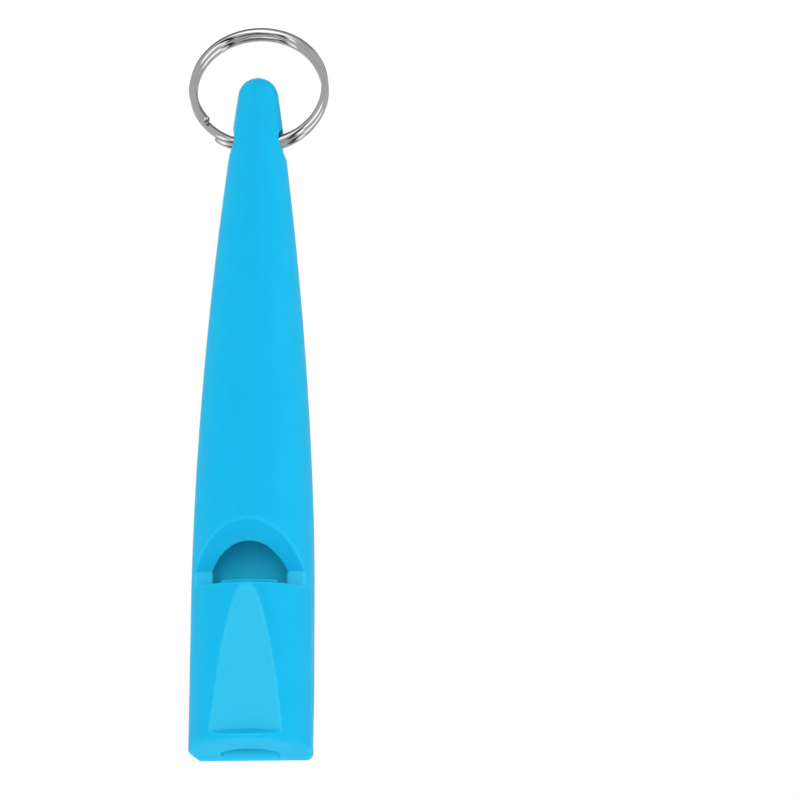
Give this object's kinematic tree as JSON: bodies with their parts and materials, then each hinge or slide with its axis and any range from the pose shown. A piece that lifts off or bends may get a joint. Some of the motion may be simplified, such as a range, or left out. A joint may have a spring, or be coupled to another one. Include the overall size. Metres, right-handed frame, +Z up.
{
  "type": "dog whistle",
  "caption": "Slim tapered pealess whistle with an arched front, a sound window and a flat mouthpiece, hung on a split ring through its tip.",
  "frame": {"origin": "middle of the eye across the tip, on the axis that the ring swings about", "axes": "+Z up from the mouth to the tip, -Y out of the front with the sound window, +X to the right seen from the front"},
  "size_m": [0.0172, 0.0126, 0.0898],
  "materials": {
    "body_plastic": "satin moulded, bright cyan blue",
    "ring_nickel": "polished nickel plate"
  },
  "bodies": {
    "whistle": {"front_shell": "body_plastic", "back_shell": "body_plastic"},
    "ring": {"split_ring": "ring_nickel"}
  },
  "joints": [
    {"name": "ring_swing", "type": "hinge", "parent": "whistle", "child": "ring", "pos_m": [0, 0, 0], "axis": [1, 0, 0], "range_deg": [-148, 164]}
  ]
}
